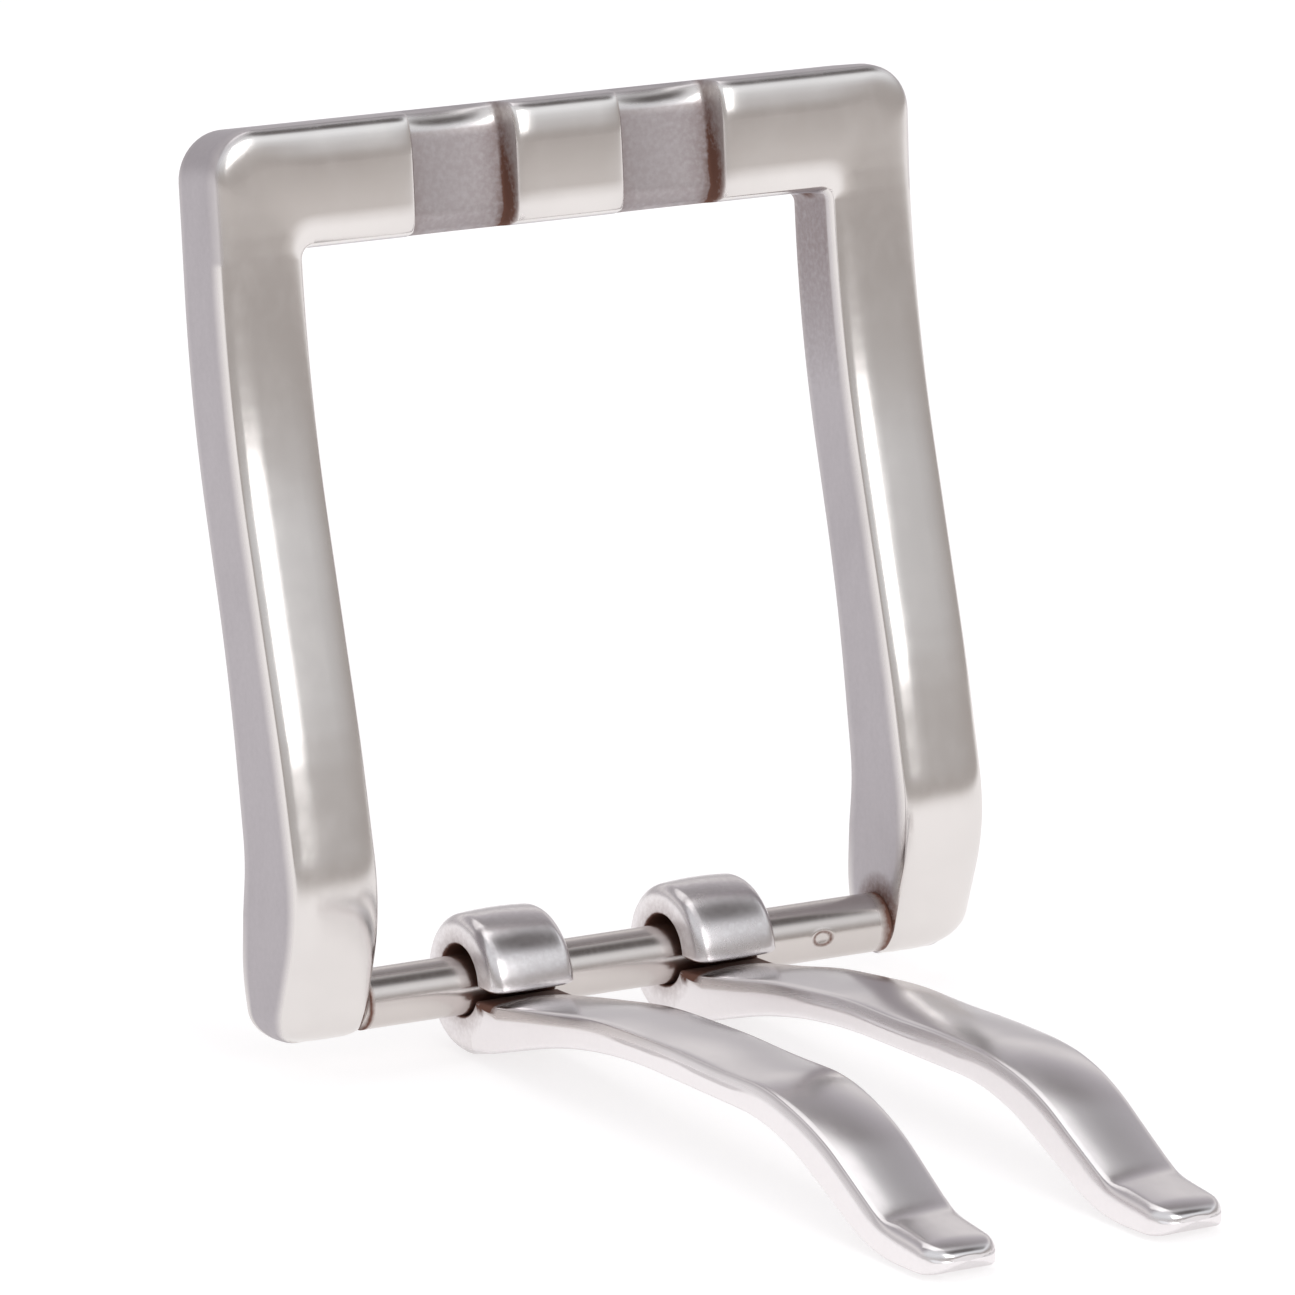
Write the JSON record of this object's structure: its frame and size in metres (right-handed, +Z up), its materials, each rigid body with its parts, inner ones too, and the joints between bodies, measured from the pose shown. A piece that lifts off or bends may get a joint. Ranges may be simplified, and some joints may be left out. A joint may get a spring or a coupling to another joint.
{
  "type": "belt buckle",
  "caption": "Frame belt buckle whose two loose hooked prongs turn on a round crossbar and close into notches in the end bar.",
  "frame": {"origin": "middle of the crossbar's axis", "axes": "+X along the crossbar, -Y the side the buckle faces, +Z up as it stands on its hooks and prong tips"},
  "size_m": [0.053, 0.0706, 0.0619],
  "materials": {
    "frame_steel": "satin, tumbled",
    "bar_steel": "turned and polished",
    "prong_steel": "polished"
  },
  "bodies": {
    "frame_body": {"frame": "frame_steel", "crossbar": "bar_steel"},
    "left_prong_body": {"left_prong": "prong_steel"},
    "right_prong_body": {"right_prong": "prong_steel"}
  },
  "joints": [
    {"name": "left_prong_hinge", "type": "hinge", "parent": "frame_body", "child": "left_prong_body", "pos_m": [-0.0091, 0, 0], "axis": [-1, 0, 0], "range_deg": [-250, 101.5]},
    {"name": "right_prong_hinge", "type": "hinge", "parent": "frame_body", "child": "right_prong_body", "pos_m": [0.0064, 0, 0], "axis": [-1, 0, 0], "range_deg": [-250, 101.5]}
  ]
}
